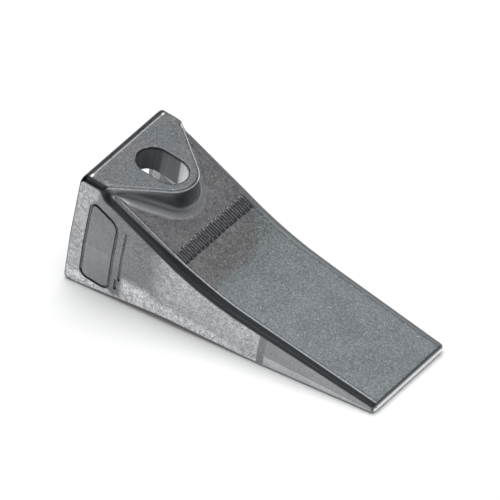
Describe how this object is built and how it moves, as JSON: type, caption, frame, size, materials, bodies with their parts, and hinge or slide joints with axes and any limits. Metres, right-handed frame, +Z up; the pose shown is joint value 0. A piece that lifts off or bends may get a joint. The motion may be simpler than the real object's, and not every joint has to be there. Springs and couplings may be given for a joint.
{
  "type": "bucket tooth",
  "caption": "Cast steel bucket tooth: a hollow box with a pin slot and rear socket that runs out through a sloping neck into a flat chisel blade.",
  "frame": {"origin": "middle of the footprint, at the height of the sole that the tooth lies on", "axes": "+X from the socket towards the cutting edge, +Y across the tooth, +Z up, square to the sole"},
  "size_m": [0.1876, 0.0712, 0.0703],
  "materials": {
    "cast_steel": "satin, finely grained as cast"
  },
  "bodies": {
    "root": {"bucket_tooth": "cast_steel"}
  },
  "joints": []
}
